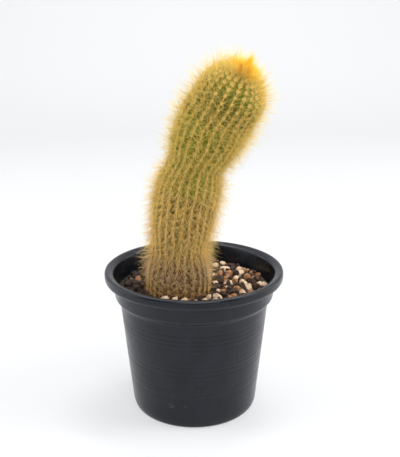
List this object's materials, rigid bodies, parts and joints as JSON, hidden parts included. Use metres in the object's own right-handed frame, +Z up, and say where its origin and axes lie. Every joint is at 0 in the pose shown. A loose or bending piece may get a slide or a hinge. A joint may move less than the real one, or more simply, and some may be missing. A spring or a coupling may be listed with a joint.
{
  "type": "potted haageocereus cactus",
  "caption": "Leaning columnar cactus with ribs, golden spines and an orange crown tuft, in a tapered black nursery pot with a rolled rim, dressed with pale gravel.",
  "frame": {"origin": "on the pot's axis, in the plane of the foot ring that the pot stands on", "axes": "+Z up along the pot's axis; the cactus leans towards +X; -Y faces the viewer of the front view"},
  "size_m": [0.11, 0.11, 0.2218],
  "materials": {
    "pot": "satin",
    "potting_mix": "matte",
    "grit": "matte",
    "stem": "matte",
    "crown_tuft": "matte"
  },
  "bodies": {
    "root": {"pot": "pot", "potting_mix": "potting_mix", "grit": "grit", "stem": "stem", "crown_tuft": "crown_tuft"}
  },
  "joints": []
}
